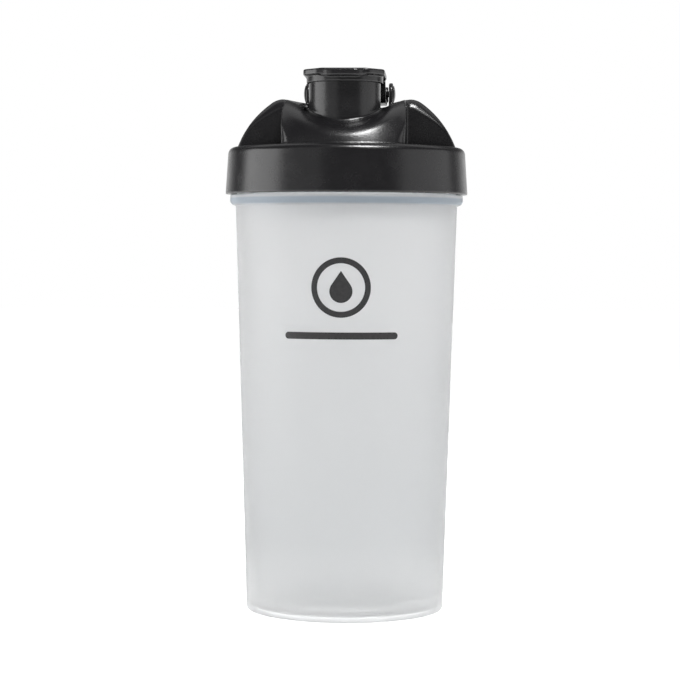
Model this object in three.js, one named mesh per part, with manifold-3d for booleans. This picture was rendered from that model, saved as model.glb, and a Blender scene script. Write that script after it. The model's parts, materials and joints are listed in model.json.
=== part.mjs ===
// A protein shaker bottle: a tapered translucent cup, a screw-on domed lid with a drinking spout, and a
// flip cap on a strap that turns on a pin between two ears. Millimetres, +Z up, the spout towards -Y, the
// origin at the middle of the surface that the cup stands on.
import * as THREE from "three";
import { mergeVertices } from "three/addons/utils/BufferGeometryUtils.js";
import Module from "manifold-3d";

const wasm = await Module();
wasm.setup();

// ---- Driving dimensions ---------------------------------------------------------------------------

// How finely round things are divided.
const ROUND = 48;
const SMALL_ROUND = 24;
const PIN_ROUND = 16;

// Cup
const BASE_RADIUS = 38.3;
const BODY_TOP_RADIUS = 43.0;
const BODY_HEIGHT = 157.0; // from the surface that it stands on to the collar's underside
const CUP_WALL = 1.5;
const FLOOR_THICKNESS = 2.0;
const FOOT_WIDTH = 3.4; // the ring that the cup stands on
const FOOT_RECESS = 1.8;
const COLLAR_OVERHANG = 2.2; // past the body's side
const COLLAR_THICKNESS = 4.0;
const COLLAR_ROUND = 2.0;
const NECK_STEP = 0.4; // from the body's side in to the neck's
const NECK_WALL = 1.6;
const NECK_HEIGHT = 15.0;

// Two-start screw thread
const THREAD_STARTS = 2;
const THREAD_LEAD = 9.0; // rise in one whole turn
const THREAD_TURN = 220; // degrees that each start runs for
const CUP_THREAD_HEIGHT = 1.1;
const CUP_THREAD_FOOT = 2.0;
const CUP_THREAD_CREST = 1.0;
const CUP_THREAD_START = 3.6; // the thread's middle above the collar's top
const LID_THREAD_HEIGHT = 1.3;
const LID_THREAD_FOOT = 1.7;
const LID_THREAD_CREST = 0.9;
const LID_THREAD_START = 1.6; // the thread's middle above the skirt's lower edge
const LOAD_FLANK_GAP = 0.35; // between a lid thread and the cup thread that holds it down

// Lid
const SKIRT_GAP = 0.3; // between the collar and the skirt
const SKIRT_WALL = 2.6; // at the lower edge
const SKIRT_DRAFT = 1.0; // how much narrower the skirt is at the top than at the lower edge
const SKIRT_ROUND = 2.5;
const SKIRT_BORE_CLEARANCE = 0.7; // between the cup thread's crest and the skirt's inside
const DECK_THICKNESS = 2.2;
const SHOULDER_WIDTH = 3.6; // the ledge between the skirt and the dome's foot
const DOME_ARC_RADIUS = 38.0;
const DOME_EDGE_RADIUS = 8.2; // the rounding where the dome's side meets its flat top
const DOME_SIDE_WIDTH = 18.0; // from the dome's foot in to the middle of that rounding
const DOME_HEIGHT = 18.9; // above the deck
const LID_WALL = 1.8;
const NOSE_HALF_WIDTH = 23.4; // the part of the dome's front that isn't cut away
const CHEEK_DEPTH = 5.7; // from the axis forward to the two flat cheeks beside the nose
const SCOOP_RADIUS = 36.0; // the hollow that the spout rises from, a slanted trough
const SCOOP_SLOPE = 10.0; // degrees
const SCOOP_FRONT = 39.0; // from the axis to the scoop's front edge, along -Y
const SCOOP_FRONT_DROP = 11.5; // of that edge below the dome's top
const SEAL_RING_WALL = 1.2; // the ring on the lid's underside that reaches into the neck
const SEAL_RING_DEPTH = 7.3;
const SEAL_RING_CLEARANCE = 0.4;

// Spout
const SPOUT_OFFSET = 18.0; // from the axis, towards -Y
const SPOUT_RADIUS = 13.6;
const SPOUT_WALL = 1.7;
const SPOUT_RISE = 6.2; // above the dome's top

// Strap channel and hinge
const CHANNEL_CLEARANCE = 1.4; // on each side of the strap
const CHANNEL_DEPTH = 3.4;
const HINGE_BEHIND = 24.0; // from the axis, towards +Y
const EAR_RADIUS = 4.4;
const EAR_THICKNESS = 1.6;
const EAR_ROOT = 5.0; // how far the ears reach below the dome's top, into the channel's sides
const KNUCKLE_RADIUS = 2.8;
const KNUCKLE_LENGTH = 30.8;
const EAR_SIDE_CLEARANCE = 0.3;
const PIN_RADIUS = 1.2;
const PIN_HEAD_RADIUS = 3.4;
const PIN_HEAD_CLEARANCE = 0.3; // above the dome's top
const PIN_HEAD_HEIGHT = 0.9;
const PIN_HEAD_GAP = 0.1; // between a head and its ear
const PIN_CLEARANCE = 0.15;

// Flip cap
const CAP_SKIRT_WALL = 0.7;
const CAP_SKIRT_CLEARANCE = 0.25; // round the spout
const CAP_SKIRT_DEPTH = 2.6;
const CAP_PLATE_THICKNESS = 2.1;
const CAP_PLATE_OVERHANG = 0.8; // past the cap's skirt
const CAP_CORNER_WIDTH = 5.6; // of each cut corner, across the front
const CAP_CORNER_LENGTH = 6.4; // and along the side
const CAP_BEVEL = 0.7;
const LIP_HALF_WIDTH = 7.8; // the thumb lip
const LIP_REACH = 2.0;
const LIP_DROP = 0.7;
const PLUG_DEPTH = 5.8;
const PLUG_WALL = 1.3;
const PLUG_CLEARANCE = 0.3;
const STRAP_INSET = 0.4; // of the strap's edges from the knuckle's ends
const STRAP_THICKNESS = 2.0;

// Seals and strainer
const LID_GASKET_THICKNESS = 1.0;
const LID_GASKET_OVERHANG = 0.8; // past the neck's outside
const SPOUT_SEAL_THICKNESS = 1.0;
const SEAL_GAP = 0.1;
const STRAINER_CLEARANCE = 0.4;
const STRAINER_RIM_WALL = 1.4;
const STRAINER_RIM_HEIGHT = 7.0;
const STRAINER_GRIP = 4.0; // how much of the rim sits inside the lid's seal ring
const STRAINER_PLATE = 1.6;
const MESH_PITCH = 8.0;
const MESH_BAR = 2.0;

// ---- Sizes that follow from them ------------------------------------------------------------------

const collarRadius = BODY_TOP_RADIUS + COLLAR_OVERHANG;
const collarTop = BODY_HEIGHT + COLLAR_THICKNESS;
const neckRadius = BODY_TOP_RADIUS - NECK_STEP;
const neckTop = collarTop + NECK_HEIGHT;
const neckBore = neckRadius - NECK_WALL;
const cupThreadCrestRadius = neckRadius + CUP_THREAD_HEIGHT;

const skirtBottom = collarTop + SKIRT_GAP;
const skirtBore = cupThreadCrestRadius + SKIRT_BORE_CLEARANCE;
const skirtBottomRadius = skirtBore + SKIRT_WALL;
const skirtTopRadius = skirtBottomRadius - SKIRT_DRAFT;
const gasketBottom = neckTop + SEAL_GAP;
const deckUnderside = gasketBottom + LID_GASKET_THICKNESS + SEAL_GAP;
const deckTop = deckUnderside + DECK_THICKNESS;
const domeBaseRadius = skirtTopRadius - SHOULDER_WIDTH;
const domeTopRadius = domeBaseRadius - DOME_SIDE_WIDTH;
const domeTop = deckTop + DOME_HEIGHT;
const sealRingRadius = neckBore - SEAL_RING_CLEARANCE;
const sealRingBore = sealRingRadius - SEAL_RING_WALL;

const spoutBore = SPOUT_RADIUS - SPOUT_WALL;
const spoutTop = domeTop + SPOUT_RISE;
const channelFloor = domeTop - CHANNEL_DEPTH;
const hingeHeight = domeTop + PIN_HEAD_CLEARANCE + PIN_HEAD_RADIUS;
const strapHalfWidth = KNUCKLE_LENGTH / 2 - STRAP_INSET;
const channelHalfWidth = strapHalfWidth + CHANNEL_CLEARANCE;
const earInside = KNUCKLE_LENGTH / 2 + EAR_SIDE_CLEARANCE;
const earOutside = earInside + EAR_THICKNESS;

const sealBottom = spoutTop + SEAL_GAP;
const capPlateBottom = sealBottom + SPOUT_SEAL_THICKNESS + SEAL_GAP;
const capPlateTop = capPlateBottom + CAP_PLATE_THICKNESS;
const plugRadius = spoutBore - PLUG_CLEARANCE;
const capSkirtBore = SPOUT_RADIUS + CAP_SKIRT_CLEARANCE;
const capSkirtRadius = capSkirtBore + CAP_SKIRT_WALL;
const capPlateHalfWidth = capSkirtRadius + CAP_PLATE_OVERHANG;
const capFront = -SPOUT_OFFSET - capPlateHalfWidth;
const capBack = -SPOUT_OFFSET + capSkirtRadius;

const strainerRadius = sealRingBore - STRAINER_CLEARANCE;
const strainerTop = deckUnderside - SEAL_RING_DEPTH + STRAINER_GRIP;
const strainerBottom = strainerTop - STRAINER_RIM_HEIGHT;

// ---- Materials ------------------------------------------------------------------------------------

const frostedPlastic = new THREE.MeshStandardMaterial({
  color: 0xd3d5d7,
  roughness: 0.45,
  metalness: 0,
  transparent: true,
  opacity: 0.6,
});
const blackPlastic = new THREE.MeshStandardMaterial({ color: 0x1c1b1d, roughness: 0.38, metalness: 0 });
const glossBlackPlastic = new THREE.MeshStandardMaterial({ color: 0x19181a, roughness: 0.25, metalness: 0 });
const silicone = new THREE.MeshStandardMaterial({ color: 0xe9e9e6, roughness: 0.6, metalness: 0 });
const naturalPlastic = new THREE.MeshStandardMaterial({ color: 0xdcdedf, roughness: 0.5, metalness: 0 });

// ---- Solids ---------------------------------------------------------------------------------------

// A closed geometry as a solid, whichever way its faces were wound.
function solid(geometry) {
  const bare = geometry.index ? geometry.toNonIndexed() : geometry.clone();
  bare.deleteAttribute("normal");
  bare.deleteAttribute("uv");
  const merged = mergeVertices(bare, 1e-4);
  const corners = merged.index.array;
  const triVerts = [];
  for (let i = 0; i < corners.length; i += 3) {
    const [a, b, c] = [corners[i], corners[i + 1], corners[i + 2]];
    if (a !== b && b !== c && c !== a) triVerts.push(a, b, c);
  }
  const make = (order) =>
    new wasm.Manifold(
      new wasm.Mesh({
        numProp: 3,
        vertProperties: merged.attributes.position.array,
        triVerts: new Uint32Array(order),
      }),
    );
  const made = make(triVerts);
  return made.volume() < 0 ? make(triVerts.reverse()) : made;
}

// A solid as a geometry that a mesh can hold.
function geometryOf(shape) {
  const { vertProperties, triVerts, numProp, numVert } = shape.getMesh();
  const places = new Float32Array(numVert * 3);
  for (let i = 0; i < numVert; i++) places.set(vertProperties.subarray(i * numProp, i * numProp + 3), i * 3);
  const geometry = new THREE.BufferGeometry()
    .setAttribute("position", new THREE.BufferAttribute(places, 3))
    .setIndex(new THREE.BufferAttribute(triVerts, 1));
  geometry.computeVertexNormals();
  return geometry;
}

// Turns [radius, height] points round the Z axis. The outline closes on itself, or ends on the axis.
function turned(outline, sides = ROUND, [x, y] = [0, 0]) {
  const points = outline.map(([radius, height]) => new THREE.Vector2(radius, height));
  const [first, last] = [outline[0], outline[outline.length - 1]];
  if (first[0] > 0 || last[0] > 0) points.push(points[0].clone());
  return solid(new THREE.LatheGeometry(points, sides).rotateX(Math.PI / 2).translate(x, y, 0));
}

function disc(radius, bottom, top, sides = ROUND, centre = [0, 0]) {
  const outline = [
    [0, bottom],
    [radius, bottom],
    [radius, top],
    [0, top],
  ];
  return turned(outline, sides, centre);
}

function ring(outer, inner, bottom, top, sides = ROUND, centre = [0, 0]) {
  const outline = [
    [inner, bottom],
    [outer, bottom],
    [outer, top],
    [inner, top],
  ];
  return turned(outline, sides, centre);
}

function block([x0, y0, z0], [x1, y1, z1]) {
  const geometry = new THREE.BoxGeometry(x1 - x0, y1 - y0, z1 - z0);
  return solid(geometry.translate((x0 + x1) / 2, (y0 + y1) / 2, (z0 + z1) / 2));
}

// A shape drawn in Y and Z, as thick as it has to be to reach from x0 to x1.
function sideways(shape, x0, x1, curveSegments = 6) {
  const geometry = new THREE.ExtrudeGeometry(shape, { depth: x1 - x0, bevelEnabled: false, curveSegments });
  const toYZ = new THREE.Matrix4().makeBasis(
    new THREE.Vector3(0, 1, 0),
    new THREE.Vector3(0, 0, 1),
    new THREE.Vector3(1, 0, 0),
  );
  return solid(geometry.applyMatrix4(toYZ).translate(x0, 0, 0));
}

// A round bar along X through a point in Y and Z.
function crossBar(radius, x0, x1, y, z, sides = PIN_ROUND) {
  const geometry = new THREE.CylinderGeometry(radius, radius, x1 - x0, sides).rotateZ(Math.PI / 2);
  return solid(geometry.translate((x0 + x1) / 2, y, z));
}

// Points of an arc round [radius, height] centre, from one angle to another in radians.
function arc([r, z], radius, from, to, steps) {
  return Array.from({ length: steps + 1 }, (_, i) => {
    const angle = from + ((to - from) * i) / steps;
    return [r + radius * Math.cos(angle), z + radius * Math.sin(angle)];
  });
}

// One start of a screw thread: a four-sided ridge on a helix, which fades out at both ends.
// rootRadius lies inside the wall that the ridge grows from, and crestRadius is the ridge's free edge.
function threadRidge({ rootRadius, wallRadius, crestRadius, foot, crest, middle, startAngle }) {
  const steps = Math.round((THREAD_TURN / 360) * ROUND);
  const fade = 0.12;
  const places = [];
  for (let i = 0; i <= steps; i++) {
    const share = i / steps;
    const grown = Math.min(1, share / fade, (1 - share) / fade);
    const angle = THREE.MathUtils.degToRad(startAngle + THREAD_TURN * share);
    const height = middle + (THREAD_LEAD * THREAD_TURN * share) / 360;
    const edge = wallRadius + (crestRadius - wallRadius) * Math.max(grown, 0.1);
    const section = [
      [rootRadius, -foot / 2],
      [rootRadius, foot / 2],
      [edge, crest / 2],
      [edge, -crest / 2],
    ];
    for (const [r, dz] of section) places.push(r * Math.cos(angle), r * Math.sin(angle), height + dz);
  }
  const faces = [0, 1, 2, 0, 2, 3];
  for (let i = 0; i < steps; i++)
    for (let k = 0; k < 4; k++) {
      const [a, b] = [4 * i + k, 4 * i + ((k + 1) % 4)];
      faces.push(a, a + 4, b, b, a + 4, b + 4);
    }
  const end = 4 * steps;
  faces.push(end, end + 2, end + 1, end, end + 3, end + 2);
  const geometry = new THREE.BufferGeometry()
    .setAttribute("position", new THREE.Float32BufferAttribute(places, 3))
    .setIndex(faces);
  return solid(geometry);
}

function withThreads(shape, ridge) {
  let made = shape;
  for (let start = 0; start < THREAD_STARTS; start++)
    made = made.add(threadRidge({ ...ridge, startAngle: ridge.startAngle + (360 / THREAD_STARTS) * start }));
  return made;
}

// ---- Cup ------------------------------------------------------------------------------------------

function cup() {
  const wallSlope = (BODY_TOP_RADIUS - BASE_RADIUS) / BODY_HEIGHT;
  const innerRadius = (height) => BASE_RADIUS + wallSlope * height - CUP_WALL;
  const floorTop = FOOT_RECESS + FLOOR_THICKNESS;
  const outline = [
    [0, FOOT_RECESS],
    [BASE_RADIUS - FOOT_WIDTH - FOOT_RECESS / 2, FOOT_RECESS],
    [BASE_RADIUS - FOOT_WIDTH, 0],
    [BASE_RADIUS - 0.5, 0],
    [BASE_RADIUS, 0.6],
    [BODY_TOP_RADIUS, BODY_HEIGHT],
    ...arc([collarRadius - COLLAR_ROUND, BODY_HEIGHT + COLLAR_ROUND], COLLAR_ROUND, -Math.PI / 2, 0, 4),
    [collarRadius, collarTop - 0.3],
    [collarRadius - 0.3, collarTop],
    [neckRadius, collarTop],
    [neckRadius, neckTop - 0.4],
    [neckRadius - 0.4, neckTop],
    [neckBore, neckTop],
    [neckBore, collarTop],
    [innerRadius(floorTop + 2), floorTop + 2],
    [innerRadius(floorTop) - 2, floorTop],
    [0, floorTop],
  ];
  return withThreads(turned(outline), {
    rootRadius: neckRadius - NECK_WALL / 2,
    wallRadius: neckRadius,
    crestRadius: cupThreadCrestRadius,
    foot: CUP_THREAD_FOOT,
    crest: CUP_THREAD_CREST,
    middle: collarTop + CUP_THREAD_START,
    startAngle: 0,
  });
}

// ---- Lid ------------------------------------------------------------------------------------------

// The dome without its cuts, taken in by inset all round: a long arc up the side, a short one on to the top.
function domeRevolved(inset) {
  const edgeCentre = [domeTopRadius, domeTop - DOME_EDGE_RADIUS];
  const base = [domeBaseRadius, deckTop];
  const [dr, dz] = [base[0] - edgeCentre[0], base[1] - edgeCentre[1]];
  const span = Math.hypot(dr, dz);
  const between = DOME_ARC_RADIUS - DOME_EDGE_RADIUS;
  const along = (between ** 2 - DOME_ARC_RADIUS ** 2 + span ** 2) / (2 * span);
  const across = Math.sqrt(between ** 2 - along ** 2);
  const sideCentre = [
    edgeCentre[0] + (along * dr + across * dz) / span,
    edgeCentre[1] + (along * dz - across * dr) / span,
  ];
  const low = Math.atan2(base[1] - sideCentre[1], base[0] - sideCentre[0]);
  const meet = Math.atan2(edgeCentre[1] - sideCentre[1], edgeCentre[0] - sideCentre[0]);
  const side = arc(sideCentre, DOME_ARC_RADIUS - inset, low, meet, 7);
  const edge = arc(edgeCentre, DOME_EDGE_RADIUS - inset, meet, Math.PI / 2, 4);
  const foot = inset ? deckUnderside - SEAL_RING_DEPTH - 1 : deckTop - DECK_THICKNESS / 2;
  const footRadius = inset ? sealRingBore : domeBaseRadius;
  const outline = [[0, foot], [footRadius, foot], ...(inset ? [[footRadius, deckTop - 0.4]] : []), ...side];
  return turned([...outline, ...edge.slice(1), [0, domeTop - inset]]);
}

// The trough in front, as a round bar that slopes down towards the front.
function scoopCutter(inset) {
  const slope = THREE.MathUtils.degToRad(SCOOP_SLOPE);
  const length = 120;
  const radius = SCOOP_RADIUS + inset;
  const geometry = new THREE.CylinderGeometry(radius, radius, length, 2 * ROUND).rotateX(slope);
  const lift = SCOOP_RADIUS / Math.cos(slope);
  return solid(geometry.translate(0, -SCOOP_FRONT, domeTop - SCOOP_FRONT_DROP + lift));
}

// What is cut from the dome, grown by inset: the corners beside the nose, the scoop, and the strap's channel.
function domeCutters(inset) {
  const far = 2 * domeBaseRadius;
  const [side, front] = [NOSE_HALF_WIDTH - inset, -CHEEK_DEPTH + inset];
  const corner = block([side, -far, deckTop - inset], [far, front, domeTop + far]);
  const otherCorner = block([-far, -far, deckTop - inset], [-side, front, domeTop + far]);
  const channelSide = channelHalfWidth + inset;
  const channel = block(
    [-channelSide, -SPOUT_OFFSET, channelFloor - inset],
    [channelSide, far, domeTop + far],
  );
  return corner.add(otherCorner).add(channel).add(scoopCutter(inset));
}

// An ear that carries the hinge pin, from x0 to x1.
function ear(x0, x1) {
  const shape = new THREE.Shape();
  shape.moveTo(HINGE_BEHIND - EAR_RADIUS, domeTop - EAR_ROOT);
  shape.lineTo(HINGE_BEHIND + EAR_RADIUS, domeTop - EAR_ROOT);
  shape.lineTo(HINGE_BEHIND + EAR_RADIUS, hingeHeight);
  shape.absarc(HINGE_BEHIND, hingeHeight, EAR_RADIUS, 0, Math.PI, false);
  shape.closePath();
  return sideways(shape, x0, x1);
}

function skirtAndDeck() {
  const outline = [
    [skirtBore, skirtBottom],
    [skirtBottomRadius - 0.4, skirtBottom],
    [skirtBottomRadius, skirtBottom + 0.4],
    [skirtTopRadius, deckTop - SKIRT_ROUND],
    ...arc([skirtTopRadius - SKIRT_ROUND, deckTop - SKIRT_ROUND], SKIRT_ROUND, 0, Math.PI / 2, 4).slice(1),
    [sealRingBore, deckTop],
    [sealRingBore, deckUnderside - SEAL_RING_DEPTH],
    [sealRingRadius, deckUnderside - SEAL_RING_DEPTH],
    [sealRingRadius, deckUnderside],
    [skirtBore, deckUnderside],
  ];
  return withThreads(turned(outline), {
    rootRadius: skirtBore + 0.8,
    wallRadius: skirtBore,
    crestRadius: skirtBore - LID_THREAD_HEIGHT,
    foot: LID_THREAD_FOOT,
    crest: LID_THREAD_CREST,
    middle: skirtBottom + LID_THREAD_START,
    startAngle: lidThreadAngle(),
  });
}

// Where the lid's thread starts, so that it lies under the cup's by the load flank's gap when shut.
function lidThreadAngle() {
  const below = (CUP_THREAD_FOOT + LID_THREAD_FOOT) / 2 + LOAD_FLANK_GAP;
  const cupMiddle = collarTop + CUP_THREAD_START;
  const lidMiddle = skirtBottom + LID_THREAD_START;
  return ((lidMiddle + below - cupMiddle) / THREAD_LEAD) * 360;
}

function lid() {
  const spoutCentre = [0, -SPOUT_OFFSET];
  const dome = domeRevolved(0).subtract(domeCutters(0));
  const cavity = domeRevolved(LID_WALL).subtract(domeCutters(LID_WALL));
  const spout = disc(SPOUT_RADIUS, deckTop, spoutTop, SMALL_ROUND, spoutCentre);
  const bore = disc(spoutBore, deckTop - 1, spoutTop + 1, SMALL_ROUND, spoutCentre);
  const ears = ear(earInside, earOutside).add(ear(-earOutside, -earInside));
  const pinHole = crossBar(PIN_RADIUS + PIN_CLEARANCE, -earOutside - 1, earOutside + 1, HINGE_BEHIND, hingeHeight);
  return skirtAndDeck().add(dome).add(spout).subtract(cavity).subtract(bore).add(ears).subtract(pinHole);
}

// ---- Flip cap -------------------------------------------------------------------------------------

// The cap's top plate in plan, grown or taken in by inset.
function capOutline(inset) {
  const [half, front] = [capPlateHalfWidth - inset, capPlateHalfWidth - CAP_CORNER_WIDTH - inset / 2];
  const frontY = capFront + inset;
  const back = capBack - inset;
  const shape = new THREE.Shape();
  shape.moveTo(-half, back);
  shape.lineTo(-half, frontY + CAP_CORNER_LENGTH);
  shape.lineTo(-front, frontY);
  shape.lineTo(-LIP_HALF_WIDTH + inset, frontY);
  shape.lineTo(-LIP_HALF_WIDTH + inset + LIP_REACH / 2, frontY - LIP_REACH);
  shape.lineTo(LIP_HALF_WIDTH - inset - LIP_REACH / 2, frontY - LIP_REACH);
  shape.lineTo(LIP_HALF_WIDTH - inset, frontY);
  shape.lineTo(front, frontY);
  shape.lineTo(half, frontY + CAP_CORNER_LENGTH);
  shape.lineTo(half, back);
  shape.closePath();
  return shape;
}

function slab(shape, bottom, top) {
  const geometry = new THREE.ExtrudeGeometry(shape, { depth: top - bottom, bevelEnabled: false });
  return solid(geometry.translate(0, 0, bottom));
}

// The strap seen from the side: it drops behind the spout into the channel and ends in the hinge's knuckle.
function strapOutline() {
  const back = capBack;
  const low = channelFloor + 2.4;
  const shape = new THREE.Shape();
  shape.moveTo(back - 3, capPlateTop - CAP_BEVEL);
  shape.lineTo(back - 3, capPlateBottom);
  shape.lineTo(back, capPlateBottom);
  shape.lineTo(back + 4, low + 2);
  shape.lineTo(back + 8, low);
  shape.lineTo(HINGE_BEHIND, low);
  shape.lineTo(HINGE_BEHIND, low + STRAP_THICKNESS);
  shape.lineTo(back + 9.5, low + STRAP_THICKNESS);
  shape.lineTo(back + 1.5, capPlateTop - CAP_BEVEL);
  shape.closePath();
  return shape;
}

function flipCap() {
  const centre = [0, -SPOUT_OFFSET];
  const plate = slab(capOutline(0), capPlateBottom, capPlateTop - CAP_BEVEL);
  const crown = slab(capOutline(CAP_BEVEL), capPlateTop - CAP_BEVEL - 0.2, capPlateTop);
  const skirtLow = capPlateBottom - CAP_SKIRT_DEPTH;
  const skirtRing = ring(
    capSkirtRadius,
    capSkirtBore,
    skirtLow,
    capPlateBottom + 0.2,
    SMALL_ROUND,
    centre,
  );
  const plug = ring(
    plugRadius,
    plugRadius - PLUG_WALL,
    capPlateBottom - PLUG_DEPTH,
    capPlateBottom + 0.2,
    SMALL_ROUND,
    centre,
  );
  const lipHalf = LIP_HALF_WIDTH - LIP_REACH / 2;
  const lip = block(
    [-lipHalf, capFront - LIP_REACH, capPlateBottom - LIP_DROP],
    [lipHalf, capFront - 0.4, capPlateBottom + 0.2],
  );
  const strap = sideways(strapOutline(), -strapHalfWidth, strapHalfWidth);
  const knuckle = crossBar(KNUCKLE_RADIUS, -KNUCKLE_LENGTH / 2, KNUCKLE_LENGTH / 2, HINGE_BEHIND, hingeHeight);
  const bore = crossBar(PIN_RADIUS + PIN_CLEARANCE, -KNUCKLE_LENGTH, KNUCKLE_LENGTH, HINGE_BEHIND, hingeHeight);
  return plate.add(crown).add(skirtRing).add(plug).add(lip).add(strap).add(knuckle).subtract(bore);
}

// The pin's shank with a low head on each end, outside the ears.
function hingePin() {
  const headInside = earOutside + PIN_HEAD_GAP;
  const shank = crossBar(PIN_RADIUS, -headInside - 0.2, headInside + 0.2, HINGE_BEHIND, hingeHeight);
  const head = crossBar(PIN_HEAD_RADIUS, headInside, headInside + PIN_HEAD_HEIGHT, HINGE_BEHIND, hingeHeight);
  const otherHead = crossBar(PIN_HEAD_RADIUS, -headInside - PIN_HEAD_HEIGHT, -headInside, HINGE_BEHIND, hingeHeight);
  return shank.add(head).add(otherHead);
}

// ---- Seals and strainer ---------------------------------------------------------------------------

function lidGasket() {
  const inner = sealRingRadius + SEAL_GAP * 2;
  return ring(neckRadius + LID_GASKET_OVERHANG, inner, gasketBottom, gasketBottom + LID_GASKET_THICKNESS);
}

function spoutSeal() {
  const centre = [0, -SPOUT_OFFSET];
  const inner = plugRadius + SEAL_GAP;
  return ring(SPOUT_RADIUS, inner, sealBottom, sealBottom + SPOUT_SEAL_THICKNESS, SMALL_ROUND, centre);
}

// A shallow ring with a square mesh across its lower end.
function strainer() {
  const meshRadius = strainerRadius - STRAINER_RIM_WALL / 2;
  const reach = Math.floor(meshRadius / MESH_PITCH) * MESH_PITCH;
  let plate = disc(meshRadius, strainerBottom, strainerBottom + STRAINER_PLATE);
  const hole = (MESH_PITCH - MESH_BAR) / 2;
  for (let x = -reach; x <= reach; x += MESH_PITCH)
    for (let y = -reach; y <= reach; y += MESH_PITCH) {
      const corner = Math.hypot(Math.abs(x) + hole, Math.abs(y) + hole);
      if (corner > strainerRadius - STRAINER_RIM_WALL - MESH_BAR / 2) continue;
      plate = plate.subtract(
        block([x - hole, y - hole, strainerBottom - 1], [x + hole, y + hole, strainerBottom + STRAINER_PLATE + 1]),
      );
    }
  return plate.add(ring(strainerRadius, strainerRadius - STRAINER_RIM_WALL, strainerBottom, strainerTop));
}

// ---- The object -----------------------------------------------------------------------------------

function piece(name, shape, material) {
  const mesh = new THREE.Mesh(geometryOf(shape), material);
  mesh.name = name;
  return mesh;
}

const capGroup = new THREE.Group();
capGroup.add(piece("flip_cap", flipCap(), glossBlackPlastic));
capGroup.add(piece("spout_seal", spoutSeal(), silicone));

const lidGroup = new THREE.Group();
lidGroup.add(piece("lid", lid(), blackPlastic));
lidGroup.add(piece("hinge_pin", hingePin(), glossBlackPlastic));
lidGroup.add(piece("lid_gasket", lidGasket(), silicone));
lidGroup.add(piece("strainer", strainer(), naturalPlastic));
lidGroup.add(capGroup);

const shaker = new THREE.Group();
shaker.add(piece("cup", cup(), frostedPlastic));
shaker.add(lidGroup);

export default shaker;
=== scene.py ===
"""A protein shaker bottle: translucent frosted cup, black screw lid with a spout, and a hinged flip cap.

Shapes are worked out in millimetres and become metres when a mesh is made. The lid and the cap are distance
fields, negative inside, so that every edge and every root has its own rounding; round pieces are turned
outlines. The spout faces -Y and the origin is the middle of the surface that the cup stands on.
"""

import json
import math

import bmesh
import bpy
import numpy as np
from mathutils import Matrix, Vector


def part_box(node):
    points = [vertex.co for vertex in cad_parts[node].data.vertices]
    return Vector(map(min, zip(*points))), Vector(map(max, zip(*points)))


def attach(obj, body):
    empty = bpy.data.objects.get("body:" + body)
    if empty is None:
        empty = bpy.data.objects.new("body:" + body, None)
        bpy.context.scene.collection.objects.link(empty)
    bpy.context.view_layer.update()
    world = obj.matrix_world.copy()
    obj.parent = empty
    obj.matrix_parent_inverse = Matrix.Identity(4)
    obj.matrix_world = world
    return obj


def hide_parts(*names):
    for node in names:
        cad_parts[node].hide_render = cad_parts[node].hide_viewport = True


MM = 0.001

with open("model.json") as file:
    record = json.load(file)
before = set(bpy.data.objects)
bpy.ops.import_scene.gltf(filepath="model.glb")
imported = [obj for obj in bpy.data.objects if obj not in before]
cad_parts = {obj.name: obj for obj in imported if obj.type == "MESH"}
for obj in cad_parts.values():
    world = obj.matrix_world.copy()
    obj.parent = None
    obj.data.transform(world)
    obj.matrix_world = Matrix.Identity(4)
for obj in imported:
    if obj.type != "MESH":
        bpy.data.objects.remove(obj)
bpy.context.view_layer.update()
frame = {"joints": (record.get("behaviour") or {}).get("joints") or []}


def node_box(node):
    """The lowest and highest corner of a CAD node, in millimetres."""
    low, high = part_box(node)
    return low / MM, high / MM


# ---- Sizes in millimetres --------------------------------------------------------------------------

cup_high = node_box("cup")[1]
lid_low, lid_high = node_box("lid")
cap_low, cap_high = node_box("flip_cap")
pin_high = node_box("hinge_pin")[1]
gasket_low, gasket_high = node_box("lid_gasket")
seal_low, seal_high = node_box("spout_seal")
strainer_low, strainer_high = node_box("strainer")
flip_joint = next(j for j in frame["joints"] if j["name"] == "cap_flip")
HINGE_Y, HINGE_Z = (v / MM for v in flip_joint["pos_m"][1:])

# Gaps between pieces
SEAL_GAP = 0.1
PIN_CLEARANCE = 0.15

# Cup
BASE_RADIUS = 38.3
BODY_TOP_RADIUS = 43.0
COLLAR_RADIUS = cup_high.x
COLLAR_THICKNESS = 4.0
COLLAR_ROUND = 2.0
NECK_HEIGHT = 15.0
NECK_TOP = cup_high.z
COLLAR_TOP = NECK_TOP - NECK_HEIGHT
BODY_HEIGHT = COLLAR_TOP - COLLAR_THICKNESS
NECK_RADIUS = 42.6
NECK_WALL = 1.6
CUP_WALL = 1.5
FOOT_RECESS = 1.8
FLOOR_TOP = 3.8
FOOT_WIDTH = 3.4
GATE_RADIUS = 2.0
GATE_DEPTH = 0.5
FLOOR_CORNER = 4.0
COLLAR_EDGE_ROUND = 0.45
NECK_ROUND = 0.5

# Two-start thread
THREAD_STARTS = 2
THREAD_LEAD = 9.0
THREAD_TURN = math.radians(220)
THREAD_FADE = 0.12
CUP_THREAD_HEIGHT = 1.1
CUP_THREAD_HALF_FOOT = 1.05
CUP_THREAD_FLANK = 0.55
CUP_THREAD_MIDDLE = COLLAR_TOP + 3.6
LID_THREAD_HEIGHT = 1.3
LID_THREAD_MIDDLE = lid_low.z + 1.6
LOAD_FLANK_DROP = 2.2

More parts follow.
